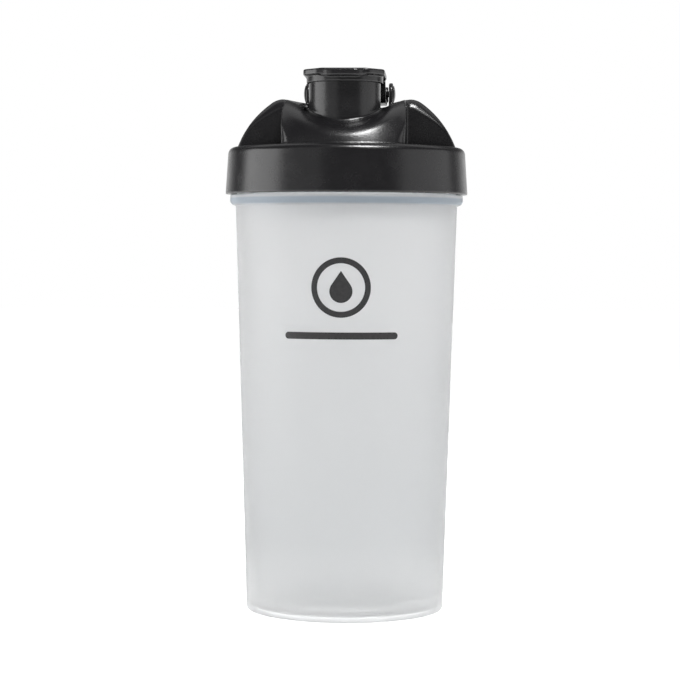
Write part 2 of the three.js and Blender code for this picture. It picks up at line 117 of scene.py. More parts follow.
# Lid
SKIRT_BOTTOM = lid_low.z
SKIRT_RADIUS = lid_high.x
SKIRT_DRAFT = 1.0
SKIRT_ROUND = 2.5
SKIRT_BORE = 44.4
DECK_THICKNESS = 2.2
DECK_UNDERSIDE = gasket_high.z + SEAL_GAP
DECK_TOP = DECK_UNDERSIDE + DECK_THICKNESS
DOME_HEIGHT = 18.9
DOME_TOP = DECK_TOP + DOME_HEIGHT
DOME_BASE_RADIUS = 42.4
DOME_ARC_RADIUS = 38.0
DOME_EDGE_RADIUS = 8.2
DOME_TOP_RADIUS = 24.4
LID_WALL = 1.8
NOSE_HALF_WIDTH = 23.4
CHEEK_DEPTH = 5.7
SCOOP_RADIUS = 36.0
SCOOP_SLOPE = math.radians(10.0)
SCOOP_FRONT = 39.0
SCOOP_FRONT_DROP = 11.5
SCOOP_LIP_ROUND = 4.5
SEAL_RING_RADIUS = 40.6
SEAL_RING_BORE = 39.4
SEAL_RING_BOTTOM = DECK_UNDERSIDE - 7.3
CHANNEL_HALF_WIDTH = 16.4
CHANNEL_FLOOR = DOME_TOP - 3.4

# Spout and hinge
SPOUT_Y = -18.0
SPOUT_RADIUS = 13.6
SPOUT_BORE = 11.9
SPOUT_TOP = seal_low.z - SEAL_GAP
EAR_RADIUS = 4.4
EAR_INSIDE = 15.7
EAR_OUTSIDE = 17.3
EAR_ROOT = 5.0
PIN_RADIUS = 1.2
PIN_HEAD_RADIUS = 3.4
KNUCKLE_RADIUS = 2.8
KNUCKLE_HALF = 15.4

# Flip cap
PLATE_BOTTOM = seal_high.z + SEAL_GAP
PLATE_TOP = cap_high.z
PLATE_HALF = cap_high.x
PLATE_FRONT = SPOUT_Y - PLATE_HALF
PLATE_BACK = SPOUT_Y + 14.55
CORNER_WIDTH = 5.6
CORNER_LENGTH = 6.4
LIP_HALF = 7.8
LIP_FRONT = cap_low.y
LIP_BOTTOM = PLATE_BOTTOM - 0.7
LIP_ROOT = 2.0
LIP_TAPER = 1.2
LIP_SUNK = 0.3
CAP_SKIRT_RADIUS = 14.55
CAP_SKIRT_BORE = 13.85
CAP_SKIRT_BOTTOM = PLATE_BOTTOM - 2.6
PLUG_RADIUS = 11.6
PLUG_BORE = 10.3
PLUG_BOTTOM = PLATE_BOTTOM - 5.8
STRAP_HALF = 15.0
STRAP_LOW = CHANNEL_FLOOR + 2.4
STRAP_THICKNESS = 2.0
STRAP_DROP_LENGTH = 9.0
STRAP_STEEPNESS = 0.78


# ---- Camera, floor and light -----------------------------------------------------------------------


def link(name, data):
    obj = bpy.data.objects.new(name, data)
    bpy.context.scene.collection.objects.link(obj)
    return obj


def look(obj, place, target, roll=0.0):
    """Puts obj at place, in metres, looking at target."""
    turn = (Vector(target) - Vector(place)).to_track_quat("-Z", "Y").to_matrix().to_4x4()
    obj.matrix_world = Matrix.Translation(place) @ turn @ Matrix.Rotation(roll, 4, "Z")


# Distances and heights in metres, the lens in millimetres
CAMERA_AZIMUTH = math.radians(2.6)
CAMERA_ROLL = math.radians(0.27)
CAMERA_LENS = 114.7
CAMERA_DISTANCE = 0.845
CAMERA_HEIGHT = 0.1411
AIM_HEIGHT = 0.10475
AIM_LEFT = 0.00226


def make_camera():
    across = Vector((math.cos(CAMERA_AZIMUTH), math.sin(CAMERA_AZIMUTH), 0))
    away = Vector((math.sin(CAMERA_AZIMUTH), -math.cos(CAMERA_AZIMUTH), 0))
    data = bpy.data.cameras.new("camera")
    data.lens = CAMERA_LENS
    data.sensor_width = 36
    camera = link("camera", data)
    place = away * CAMERA_DISTANCE + Vector((0, 0, CAMERA_HEIGHT))
    look(camera, place, Vector((0, 0, AIM_HEIGHT)) - across * AIM_LEFT, CAMERA_ROLL)
    bpy.context.scene.camera = camera


def make_softbox(name, azimuth, elevation, distance, size, radiance):
    """A lamp aimed at the lid from that direction, in degrees; azimuth turns from the front towards +X."""
    data = bpy.data.lights.new(name, "AREA")
    data.shape = "RECTANGLE"
    data.size, data.size_y = size
    data.energy = radiance * math.pi * size[0] * size[1]
    turn, rise = math.radians(azimuth), math.radians(elevation)
    away = Vector((math.sin(turn) * math.cos(rise), -math.cos(turn) * math.cos(rise), math.sin(rise)))
    target = Vector((0, 0, DECK_TOP * MM))
    look(link(name, data), target + away * distance, target)


# How bright the room is away from the white, and where on the axes of the view direction the white
# begins and is full: behind the object on Y, and low down on Z.
ROOM_DIM = 0.09
WHITE_BEHIND = (0.60, 0.95)
WHITE_LOW_DOWN = (0.30, 0.05)


def make_world():
    """White low down behind the object and dim elsewhere, which the black plastic reflects."""
    world = bpy.data.worlds.new("studio")
    bpy.context.scene.world = world
    world.use_nodes = True
    nodes, links = world.node_tree.nodes, world.node_tree.links
    nodes.clear()
    coords = nodes.new("ShaderNodeTexCoord")
    split = nodes.new("ShaderNodeSeparateXYZ")
    behind, low_down = nodes.new("ShaderNodeMapRange"), nodes.new("ShaderNodeMapRange")
    for node, (begins, full) in ((behind, WHITE_BEHIND), (low_down, WHITE_LOW_DOWN)):
        node.interpolation_type = "SMOOTHSTEP"
        node.inputs["From Min"].default_value = begins
        node.inputs["From Max"].default_value = full
    both = nodes.new("ShaderNodeMath")
    both.operation = "MULTIPLY"
    dimmed = nodes.new("ShaderNodeMapRange")
    dimmed.inputs["To Min"].default_value = ROOM_DIM
    dimmed.inputs["To Max"].default_value = 1.0
    room = nodes.new("ShaderNodeBackground")
    backdrop = nodes.new("ShaderNodeBackground")
    backdrop.inputs["Strength"].default_value = 1.0
    path = nodes.new("ShaderNodeLightPath")
    mix = nodes.new("ShaderNodeMixShader")
    out = nodes.new("ShaderNodeOutputWorld")
    links.new(coords.outputs["Generated"], split.inputs[0])
    links.new(split.outputs["Y"], behind.inputs["Value"])
    links.new(split.outputs["Z"], low_down.inputs["Value"])
    links.new(behind.outputs["Result"], both.inputs[0])
    links.new(low_down.outputs["Result"], both.inputs[1])
    links.new(both.outputs[0], dimmed.inputs["Value"])
    links.new(dimmed.outputs["Result"], room.inputs["Strength"])
    backdrop.inputs["Color"].default_value = (1, 1, 1, 1)
    room.inputs["Color"].default_value = (1, 1, 1, 1)
    links.new(path.outputs["Is Camera Ray"], mix.inputs[0])
    links.new(room.outputs[0], mix.inputs[1])
    links.new(backdrop.outputs[0], mix.inputs[2])
    links.new(mix.outputs[0], out.inputs[0])


def make_floor():
    mesh = bpy.data.meshes.new("floor")
    half = 4.0
    corners = [(-half, -half, 0), (half, -half, 0), (half, half, 0), (-half, half, 0)]
    mesh.from_pydata(corners, [], [(0, 1, 2, 3)])
    mesh.materials.append(painted_floor())
    link("floor", mesh)


# ---- Materials -------------------------------------------------------------------------------------


class Nodes:
    """A material's node tree with short ways to add what these materials share."""

    def __init__(self, name, **shader):
        self.material = bpy.data.materials.new(name)
        self.material.use_nodes = True
        self.tree = self.material.node_tree
        self.shader = self.tree.nodes["Principled BSDF"]
        for key, value in shader.items():
            self.shader.inputs[key.replace("_", " ")].default_value = value
        self.place = self.tree.nodes.new("ShaderNodeTexCoord").outputs["Object"]

    def add(self, kind, inputs=(), **settings):
        node = self.tree.nodes.new("ShaderNode" + kind)
        for key, value in settings.items():
            setattr(node, key, value)
        for key, value in dict(inputs).items():
            if isinstance(value, bpy.types.NodeSocket):
                self.tree.links.new(value, node.inputs[key])
            else:
                node.inputs[key].default_value = value
        return node

    def noise(self, scale, detail=2.0, roughness=0.5):
        inputs = {"Vector": self.place, "Scale": scale, "Detail": detail, "Roughness": roughness}
        return self.add("TexNoise", inputs).outputs["Fac"]

    def between(self, value, from_low, from_high, low, high):
        inputs = {"Value": value, "From Min": from_low, "From Max": from_high}
        return self.add("MapRange", {**inputs, "To Min": low, "To Max": high}).outputs["Result"]

    def blend(self, amount, first, second):
        node = self.add("Mix", data_type="RGBA")
        for socket, value in zip([node.inputs[0], node.inputs[6], node.inputs[7]], [amount, first, second]):
            if isinstance(value, bpy.types.NodeSocket):
                self.tree.links.new(value, socket)
            else:
                socket.default_value = value if not isinstance(value, tuple) else (*value, 1)
        return node.outputs[2]

    def bump(self, height, strength, distance, under=None):
        inputs = {"Height": height, "Strength": strength, "Distance": distance}
        if under:
            inputs["Normal"] = under
        return self.add("Bump", inputs).outputs["Normal"]

    def feed(self, **sockets):
        for key, value in sockets.items():
            self.tree.links.new(value, self.shader.inputs[key.replace("_", " ")])


def painted_floor():
    m = Nodes("floor_paint", Roughness=0.9, Specular_IOR_Level=0.0)
    m.shader.inputs["Emission Color"].default_value = (1, 1, 1, 1)
    m.shader.inputs["Emission Strength"].default_value = 0.95
    patches = m.between(m.noise(3), 0.3, 0.7, 0, 1)
    m.feed(Base_Color=m.blend(patches, (0.60, 0.60, 0.60), (0.62, 0.62, 0.62)))
    return m.material


def black_plastic(name, roughness, grain):
    """Moulded black polypropylene with a fine sparkling grain."""
    m = Nodes(name, Specular_IOR_Level=0.5)
    fine = m.noise(1500, 3, 0.6)
    broad = m.noise(60, 3, 0.6)
    patches = m.between(broad, 0.3, 0.7, 0, 1)
    m.feed(Base_Color=m.blend(patches, (0.0065, 0.0062, 0.0070), (0.0090, 0.0087, 0.0096)))
    m.feed(Roughness=m.between(m.noise(180, 4, 0.6), 0.3, 0.7, roughness - 0.03, roughness + 0.04))
    m.feed(Normal=m.bump(fine, grain, 0.00012, m.bump(broad, 0.05, 0.0004)))
    return m.material


# Heights in metres over which the cup's tone changes: the painted shade that darkens its lower part, and a
# lighter tone at the foot
FOOT_FADE = (0.004, 0.030)
PAINTED_SHADE_HEIGHTS = (0.030, 0.150)


def frosted_plastic():
    """Natural polypropylene: milky, with a faint flow pattern, and denser where the collar is solid."""
    m = Nodes("frosted_plastic", Transmission_Weight=0.8, IOR=1.3)
    height = m.add("SeparateXYZ", {0: m.place}).outputs["Z"]
    flow = m.between(m.noise(28, 4, 0.55), 0.3, 0.7, 0, 1)
    body = m.blend(flow, (0.866, 0.872, 0.878), (0.886, 0.890, 0.894))
    # Painted shade: the cup grows darker from 150 mm down to 30 mm, standing in for less light on its lower
    # part; below 30 mm it turns lighter again towards the foot.
    painted_shade_low = m.between(height, *PAINTED_SHADE_HEIGHTS, 1, 0)
    body = m.blend(painted_shade_low, body, (0.770, 0.780, 0.786))
    foot = m.between(height, *FOOT_FADE, 1, 0)
    body = m.blend(foot, body, (0.855, 0.862, 0.866))
    above = m.between(height, (BODY_HEIGHT + 0.1) * MM, (BODY_HEIGHT + 0.6) * MM, 0, 1)
    below = m.between(height, (COLLAR_TOP - 1.5) * MM, (COLLAR_TOP - 0.9) * MM, 1, 0)
    collar = m.add("Math", {0: above, 1: below}, operation="MULTIPLY").outputs[0]
    m.feed(Base_Color=m.blend(collar, body, (0.56, 0.63, 0.70)))
    m.feed(Roughness=m.between(m.noise(400, 3, 0.6), 0.3, 0.7, 0.42, 0.52))
    m.feed(Normal=m.bump(m.noise(900, 2), 0.08, 0.0002))
    return m.material


def silicone():
    m = Nodes("silicone", Roughness=0.55, Sheen_Weight=0.1)
    patches = m.between(m.noise(120, 3), 0.3, 0.7, 0, 1)
    m.feed(Base_Color=m.blend(patches, (0.74, 0.74, 0.72), (0.80, 0.80, 0.78)))
    m.feed(Normal=m.bump(m.noise(700, 2), 0.12, 0.0002))
    return m.material


def natural_plastic():
    m = Nodes("natural_plastic", Transmission_Weight=0.2, IOR=1.4)
    patches = m.between(m.noise(90, 3), 0.3, 0.7, 0, 1)
    m.feed(Base_Color=m.blend(patches, (0.66, 0.68, 0.69), (0.73, 0.74, 0.75)))
    m.feed(Roughness=m.between(m.noise(300, 3), 0.3, 0.7, 0.38, 0.5))
    m.feed(Normal=m.bump(m.noise(900, 2), 0.08, 0.0002))
    return m.material


def printed_ink():
    """Screen-printed ink, with the slight unevenness of its edge and gloss."""
    m = Nodes("printed_ink", Specular_IOR_Level=0.4)
    speckle = m.between(m.noise(800, 4, 0.7), 0.35, 0.65, 0, 1)
    m.feed(Base_Color=m.blend(speckle, (0.016, 0.016, 0.017), (0.026, 0.025, 0.026)))
    m.feed(Roughness=m.between(m.noise(500, 3), 0.3, 0.7, 0.36, 0.5))
    m.feed(Normal=m.bump(speckle, 0.08, 0.0001))
    return m.material


# ---- Distance fields -------------------------------------------------------------------------------


def join(a, b, radius):
    """Union of two fields with a fillet of that radius where they meet."""
    near_a, near_b = np.maximum(radius - a, 0), np.maximum(radius - b, 0)
    return np.maximum(radius, np.minimum(a, b)) - np.hypot(near_a, near_b)


def common(a, b, radius):
    """What two fields share, with its edge rounded to that radius."""
    return -join(-a, -b, radius)


def cut(a, b, radius):
    """Field a without field b, with the cut's edge rounded."""
    return common(a, -b, radius)


def slab(value, low, high):
    return np.abs(value - (low + high) / 2) - (high - low) / 2


def ramp(value, low, high, first, last):
    """Goes smoothly from first to last as value goes from low to high."""
    share = np.clip((value - low) / (high - low), 0, 1)
    return first + (last - first) * share * share * (3 - 2 * share)


def helix_ridge(x, y, z, wall, crest, middle, start):
    """Threads on a wall: trapezoid ridges on a helix that fade out at both ends.

    They point inwards where crest is less than wall.
    """
    rho = np.hypot(x, y)
    best = np.full(np.broadcast(x, y, z).shape, 9.0)
    for n in range(THREAD_STARTS):
        turn = (np.arctan2(y, x) - start - 2 * math.pi * n / THREAD_STARTS) % (2 * math.pi)
        share = turn / THREAD_TURN
        grown = np.clip(np.minimum(share, 1 - share) / THREAD_FADE, -1, 1)
        offset = np.abs(z - middle - THREAD_LEAD * turn / (2 * math.pi))
        out = (rho - wall) * math.copysign(1, crest - wall)
        height = abs(crest - wall) * grown
        flank = offset - (0.5 + 0.5 * (1 - out / abs(crest - wall)))
        best = np.minimum(best, np.maximum(flank * 0.9, out - height))
    return best


def surface(field, low, high, step, margin=1.0):
    """Vertices and quads of a field's zero surface: found on a grid, then moved on to the true surface.

    The grid reaches past the two corners by margin.
    """
    axes = [np.arange(a - margin, b + margin + step, step) for a, b in zip(low, high)]
    x, y, z = np.meshgrid(*axes, indexing="ij", sparse=True)
    shape = tuple(len(a) for a in axes)
    grid = np.broadcast_to(field(x, y, z), shape)
    cells, points, flips = [], [], []
    for axis in range(3):
        first = np.take(grid, range(shape[axis] - 1), axis)
        last = np.take(grid, range(1, shape[axis]), axis)
        edges = np.argwhere((first < 0) != (last < 0))
        before, after = first[tuple(edges.T)], last[tuple(edges.T)]
        crossing = edges.astype(float)
        crossing[:, axis] += before / (before - after)
        side, other = np.eye(3, dtype=int)[(axis + 1) % 3], np.eye(3, dtype=int)[(axis + 2) % 3]
        ring = [edges, edges - side, edges - side - other, edges - other]
        cells.append(np.stack([np.ravel_multi_index(tuple(c.T), shape) for c in ring], 1))
        points.append(np.repeat(crossing[:, None], 4, 1))
        flips.append(before > 0)
    cells, points, flips = np.concatenate(cells), np.concatenate(points), np.concatenate(flips)
    _, quads = np.unique(cells, return_inverse=True)
    quads = quads.reshape(-1, 4)
    count = np.bincount(quads.ravel())
    verts = np.stack([np.bincount(quads.ravel(), points[..., i].ravel()) / count for i in range(3)], 1)
    verts = verts * step + np.array([a[0] for a in axes])
    quads[flips] = quads[flips][:, ::-1]
    probe = 0.01
    for _ in range(4):
        here = field(*verts.T)
        slope = np.empty_like(verts)
        for i, shift in enumerate(np.eye(3) * probe):
            slope[:, i] = (field(*(verts + shift).T) - field(*(verts - shift).T)) / (2 * probe)
        pull = here[:, None] * slope / np.maximum((slope**2).sum(1, keepdims=True), 0.2)
        verts = verts - np.clip(pull, -step / 3, step / 3)
    return verts, quads


def make_mesh(name, verts, faces, material, sharp=None):
    mesh = bpy.data.meshes.new(name)
    mesh.from_pydata((np.asarray(verts) * MM).tolist(), [], [list(f) for f in faces])
    mesh.validate()
    mesh.materials.append(material)
    mesh.shade_smooth()
    if sharp:
        mesh.set_sharp_from_angle(angle=math.radians(sharp))
    return link(name, mesh)


def finish_piece(obj, body, slot, *nodes):
    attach(obj, body)
    if nodes:
        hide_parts(*nodes)


# ---- Lid -------------------------------------------------------------------------------------------


def dome_arcs():
    """The side arc's centre, and the angle at which it meets the edge arc.

    The side arc is tangent to the edge arc and ends on the deck.
    """
    edge = np.array([DOME_TOP_RADIUS, DOME_TOP - DOME_EDGE_RADIUS])
    foot = np.array([DOME_BASE_RADIUS, DECK_TOP])
    span = math.dist(edge, foot)
    between = DOME_ARC_RADIUS - DOME_EDGE_RADIUS
    along = (between**2 - DOME_ARC_RADIUS**2 + span**2) / (2 * span)
    across = math.sqrt(between**2 - along**2)
    (dr, dz) = (foot - edge) / span
    centre = edge + np.array([along * dr + across * dz, along * dz - across * dr])
    return centre, math.atan2(edge[1] - centre[1], edge[0] - centre[0])


SIDE_CENTRE, ARCS_MEET = dome_arcs()


def dome_revolved(rho, z):
    over = rho - DOME_TOP_RADIUS
    up = z - (DOME_TOP - DOME_EDGE_RADIUS)
    edge = np.hypot(over, up) - DOME_EDGE_RADIUS
    side = np.hypot(rho - SIDE_CENTRE[0], z - SIDE_CENTRE[1]) - DOME_ARC_RADIUS
    bend = np.where(np.arctan2(up, over) > ARCS_MEET, edge, side)
    return np.where(over < 0, z - DOME_TOP, bend)


def dome_shape(x, y, z, inset):
    """The dome with its cheeks, scoop and strap channel, taken in all round by inset."""
    dome = dome_revolved(np.hypot(x, y), z) + inset
    wide = np.abs(x)
    cheek_round = np.maximum(ramp(z, DOME_TOP - 14, DOME_TOP - 1, 0.5, 5.0) - inset, 0.3)
    nose_round = np.maximum(ramp(z, DECK_TOP, DOME_TOP - 9, 3.5, 0.3) - inset, 0.3)
    beside_nose = ramp(wide - NOSE_HALF_WIDTH + y + CHEEK_DEPTH, -2, 2, 0, 1)
    edge_round = nose_round + (cheek_round - nose_round) * beside_nose
    kept = join(wide - (NOSE_HALF_WIDTH - inset), -(y + CHEEK_DEPTH - inset), 0.8 + inset)
    body = common(dome, kept, edge_round)
    along = y + SCOOP_FRONT
    axis_height = DOME_TOP - SCOOP_FRONT_DROP + SCOOP_RADIUS / math.cos(SCOOP_SLOPE)
    across = (z - axis_height) * math.cos(SCOOP_SLOPE) - along * math.sin(SCOOP_SLOPE)
    scoop = np.hypot(x, across) - SCOOP_RADIUS - inset
    body = cut(body, scoop, SCOOP_LIP_ROUND - inset)
    trench = common(wide - CHANNEL_HALF_WIDTH - inset, CHANNEL_FLOOR - inset - z, 1.2)
    return cut(body, common(trench, SPOUT_Y - y, 0.5), 0.9)


def lid_field(x, y, z):
    rho = np.hypot(x, y)
    spout_rho = np.hypot(x, y - SPOUT_Y)
    taper = SKIRT_DRAFT / (DECK_TOP - SKIRT_ROUND - SKIRT_BOTTOM)
    skirt = rho - SKIRT_RADIUS + (z - SKIRT_BOTTOM) * taper
    skirt = common(common(skirt, z - DECK_TOP, SKIRT_ROUND), SKIRT_BOTTOM - z, 0.45)
    hollow = common(rho - SKIRT_BORE, z - DECK_UNDERSIDE, 0.8)
    skirt = cut(skirt, hollow, 0.4)
    start = 2 * math.pi * (LID_THREAD_MIDDLE + LOAD_FLANK_DROP - CUP_THREAD_MIDDLE) / THREAD_LEAD
    thread = helix_ridge(x, y, z, SKIRT_BORE, SKIRT_BORE - LID_THREAD_HEIGHT, LID_THREAD_MIDDLE, start)
    skirt = join(skirt, np.maximum(thread, rho - SKIRT_BORE - 0.6), 0.3)
    ring = slab(rho, SEAL_RING_BORE, SEAL_RING_RADIUS)
    ring = common(ring, slab(z, SEAL_RING_BOTTOM, DECK_TOP - 0.5), 0.4)
    skirt = join(skirt, ring, 0.4)
    dome = np.maximum(dome_shape(x, y, z, 0), DECK_TOP - 1 - z)
    spout = common(spout_rho - SPOUT_RADIUS, slab(z, DECK_TOP, SPOUT_TOP), 0.55)
    shell = join(join(skirt, dome, 0.35), spout, 1.1)
    recess_floor = DECK_TOP - LID_WALL
    vault = dome_shape(x, y, z, LID_WALL)
    inside = np.maximum(vault, DECK_TOP - 0.4 - z)
    throat = np.minimum(np.maximum(vault, slab(z, recess_floor - 0.5, DECK_TOP)), z - recess_floor)
    inside = np.minimum(inside, np.maximum(rho - SEAL_RING_BORE, throat))
    shell = cut(shell, inside, 0.4)
    bore = common(spout_rho - SPOUT_BORE, DECK_TOP - 1 - z, 0.3)
    shell = cut(shell, bore, 0.5)
    plate = np.where(z > HINGE_Z, np.hypot(y - HINGE_Y, z - HINGE_Z), np.abs(y - HINGE_Y)) - EAR_RADIUS
    plate = np.maximum(plate, DOME_TOP - EAR_ROOT - z)
    ear = common(plate, slab(np.abs(x), EAR_INSIDE, EAR_OUTSIDE), 0.45)
    shell = join(shell, ear, 0.7)
    pin_hole = np.hypot(y - HINGE_Y, z - HINGE_Z) - PIN_RADIUS - PIN_CLEARANCE
    return cut(shell, np.maximum(pin_hole, 10 - np.abs(x)), 0.15)


def make_lid():
    verts, quads = surface(lid_field, lid_low, lid_high, LID_STEP, margin=1.3)
    lid = make_mesh("screw_lid", verts, quads, black_plastic("lid_plastic", 0.25, 0.25))
    finish_piece(lid, "screw_lid", "black_plastic", "lid")


# ---- Flip cap --------------------------------------------------------------------------------------


def cap_field(x, y, z):
    wide = np.abs(x)
    spout_rho = np.hypot(x, y - SPOUT_Y)
    lean = math.hypot(CORNER_WIDTH, CORNER_LENGTH)
    corner = ((wide - PLATE_HALF) * CORNER_LENGTH - (y - PLATE_FRONT - CORNER_LENGTH) * CORNER_WIDTH) / lean
    outline = common(common(wide - PLATE_HALF, PLATE_FRONT - y, 0.5), corner, 1.2)
    outline = common(outline, y - PLATE_BACK, 0.6)
    plate = common(common(outline, PLATE_BOTTOM - z, 0.25), z - PLATE_TOP, 0.7)
    lip = common(LIP_FRONT - y, y - PLATE_FRONT - LIP_ROOT, 0.2)
    lip = common(wide - LIP_HALF + (PLATE_FRONT - y) * LIP_TAPER, lip, 1.5)
    lip = common(lip, common(LIP_BOTTOM - z, z - PLATE_TOP + LIP_SUNK, 0.2), 0.6)
    plate = join(plate, lip, 1.0)
    skirt = common(slab(spout_rho, CAP_SKIRT_BORE, CAP_SKIRT_RADIUS), CAP_SKIRT_BOTTOM - z, 0.3)
    skirt = np.maximum(skirt, z - PLATE_BOTTOM - 0.4)
    plug = common(slab(spout_rho, PLUG_BORE, PLUG_RADIUS), PLUG_BOTTOM - z, 0.45)
    plug = np.maximum(plug, z - PLATE_BOTTOM - 0.4)
    cap = join(join(plate, skirt, 0.3), plug, 0.3)
    drop_start, drop_end = PLATE_BACK + 0.6, PLATE_BACK + STRAP_DROP_LENGTH
    high_z = PLATE_TOP - 0.9 - STRAP_THICKNESS / 2
    middle = ramp(y, drop_start, drop_end, high_z, STRAP_LOW + STRAP_THICKNESS / 2)
    steep = ramp(y, drop_start - 3, drop_start + 2, 1, STRAP_STEEPNESS)
    steep = steep * ramp(y, drop_end - 2, drop_end + 3, 1, 1 / STRAP_STEEPNESS)
    strap = (np.abs(z - middle) - STRAP_THICKNESS / 2) * steep
    strap = common(strap, wide - STRAP_HALF, 0.5)
    strap = np.maximum(strap, slab(y, PLATE_BACK - 3, HINGE_Y))
    knuckle = common(np.hypot(y - HINGE_Y, z - HINGE_Z) - KNUCKLE_RADIUS, wide - KNUCKLE_HALF, 0.3)
    cap = join(join(cap, strap, 0.8), knuckle, 1.2)
    bore = np.hypot(y - HINGE_Y, z - HINGE_Z) - PIN_RADIUS - PIN_CLEARANCE
    return cut(cap, bore, 0.15)


def make_cap():
    verts, quads = surface(cap_field, cap_low, cap_high, CAP_STEP)
    cap = make_mesh("flip_cap_shell", verts, quads, black_plastic("cap_plastic", 0.25, 0.08))
    finish_piece(cap, "cap", "black_plastic", "flip_cap")


# ---- Turned pieces ---------------------------------------------------------------------------------


def arc(centre, radius, start, end, steps=8):
    """Points of an arc in radius and height; angles in degrees."""
    angles = np.radians(np.linspace(start, end, steps + 1))
    return [(centre[0] + radius * math.cos(a), centre[1] + radius * math.sin(a)) for a in angles]


def rounded(points, radii, steps=5):
    """An outline with its corners rounded: one radius for each point, 0 for a corner that stays."""
    out = []
    for i, (point, radius) in enumerate(zip(points, radii)):
        if not radius:
            out.append(tuple(point))
            continue
        here = np.array(point, float)
        before, after = np.array(points[i - 1], float), np.array(points[(i + 1) % len(points)], float)
        to_before = (before - here) / np.linalg.norm(before - here)
        to_after = (after - here) / np.linalg.norm(after - here)
        half = math.acos(np.clip(to_before @ to_after, -1, 1)) / 2
        reach = radius / math.tan(half)
        start, end = here + to_before * reach, here + to_after * reach
        middle = (to_before + to_after) / np.linalg.norm(to_before + to_after)
        centre = here + middle * radius / math.sin(half)
        for share in np.linspace(0, 1, steps + 1):
            spoke = (start - centre) * (1 - share) + (end - centre) * share
            out.append(tuple(centre + spoke / np.linalg.norm(spoke) * radius))
    return out


ON_AXIS = 1e-6


def turned(name, outline, material, sides=192, sharp=35, swell=None, place=(0, 0)):
    """Turns a closed outline, or one that starts and ends on the axis. swell moves points outwards."""
    outline = np.array(outline, float)
    closed = outline[0][0] > ON_AXIS
    angles = np.linspace(0, 2 * math.pi, sides, endpoint=False)
    radius = np.repeat(outline[:, 0][:, None], sides, 1)
    height = np.repeat(outline[:, 1][:, None], sides, 1)
    if swell:
        radius = radius + swell(radius, angles[None, :], height)
    verts = np.stack([radius * np.cos(angles) + place[0], radius * np.sin(angles) + place[1], height], 2)
    verts = verts.reshape(-1, 3)
    faces = []
    rows = len(outline)
    for i in range(rows if closed else rows - 1):
        j = (i + 1) % rows
        for k in range(sides):
            n = (k + 1) % sides
            corners = [i * sides + k, i * sides + n, j * sides + n, j * sides + k]
            if outline[i][0] < ON_AXIS:
                corners = [i * sides, j * sides + n, j * sides + k]
            elif outline[j][0] < ON_AXIS:
                corners = [i * sides + k, i * sides + n, j * sides]
            faces.append(corners)
    obj = make_mesh(name, verts, faces, material, sharp)
    tidy = bmesh.new()
    tidy.from_mesh(obj.data)
    loose = [v for v in tidy.verts if not v.link_faces]
    bmesh.ops.delete(tidy, geom=loose, context="VERTS")
    bmesh.ops.recalc_face_normals(tidy, faces=tidy.faces)
    tidy.to_mesh(obj.data)
    tidy.free()
    return obj


def body_radius(z):
    return BASE_RADIUS + (BODY_TOP_RADIUS - BASE_RADIUS) * z / BODY_HEIGHT


def inner_radius(z):
    return body_radius(z) - CUP_WALL


def cup_thread(radius, angle, z):
    """How far the neck's threads stand out at an angle and a height."""
    on_neck = (np.abs(radius - NECK_RADIUS) < 0.01) & (z > COLLAR_TOP + 0.6)
    out = np.zeros(np.broadcast(radius, angle, z).shape)
    for n in range(THREAD_STARTS):
        turn = (angle - 2 * math.pi * n / THREAD_STARTS) % (2 * math.pi)
        share = turn / THREAD_TURN
        grown = np.clip(np.minimum(share, 1 - share) / THREAD_FADE, 0, 1)
        offset = np.abs(z - CUP_THREAD_MIDDLE - THREAD_LEAD * turn / (2 * math.pi))
        ridge = np.clip((CUP_THREAD_HALF_FOOT - offset) / CUP_THREAD_FLANK, 0, 1)
        out = np.maximum(out, CUP_THREAD_HEIGHT * grown * ridge * ridge * (3 - 2 * ridge))
    return out * on_neck


def make_cup():
    neck_bore = NECK_RADIUS - NECK_WALL
    foot_inner = BASE_RADIUS - FOOT_WIDTH
    gate_top = FOOT_RECESS + GATE_DEPTH
    below = [(0, gate_top), (GATE_RADIUS - 0.4, gate_top), (GATE_RADIUS, FOOT_RECESS)]
    below += rounded(
        [(foot_inner - 0.9, FOOT_RECESS), (foot_inner, 0), (BASE_RADIUS - 0.03, 0), (body_radius(3), 3)],
        [0.8, 0.5, 0.7, 0],
    )
    side = [(body_radius(z), z) for z in np.linspace(6, BODY_HEIGHT - 0.8, 40)]
    under = [(BODY_TOP_RADIUS + 0.05, BODY_HEIGHT - 0.25), (BODY_TOP_RADIUS + 0.25, BODY_HEIGHT)]
    collar = arc((COLLAR_RADIUS - COLLAR_ROUND, BODY_HEIGHT + COLLAR_ROUND), COLLAR_ROUND, -90, 0, 10)
    edge = (COLLAR_RADIUS - COLLAR_EDGE_ROUND, COLLAR_TOP - COLLAR_EDGE_ROUND)
    collar += arc(edge, COLLAR_EDGE_ROUND, 0, 90, 5)
    root = arc((NECK_RADIUS + NECK_ROUND, COLLAR_TOP + NECK_ROUND), NECK_ROUND, -90, -180, 4)
    neck = [(NECK_RADIUS, z) for z in np.arange(COLLAR_TOP + 0.65, NECK_TOP - 0.6, 0.22)]
    rim = arc((NECK_RADIUS - NECK_ROUND, NECK_TOP - NECK_ROUND), NECK_ROUND, 0, 90, 5)
    rim += arc((neck_bore + NECK_ROUND, NECK_TOP - NECK_ROUND), NECK_ROUND, 90, 180, 5)
    inside = [(neck_bore, COLLAR_TOP + 1), (inner_radius(BODY_HEIGHT) - 0.1, BODY_HEIGHT - 3)]
    inside += [(inner_radius(z), z) for z in np.linspace(BODY_HEIGHT - 6, FLOOR_TOP + 6, 30)]
    corner_z = FLOOR_TOP + FLOOR_CORNER
    inside += arc((inner_radius(corner_z) - FLOOR_CORNER, corner_z), FLOOR_CORNER, 0, -90, 8)
    outline = below + side + under + collar + root + neck + rim + inside + [(0, FLOOR_TOP)]
    cup = turned("frosted_cup", outline, frosted_plastic(), 288, 40, cup_thread)
    finish_piece(cup, "cup_body", "frosted_plastic", "cup")


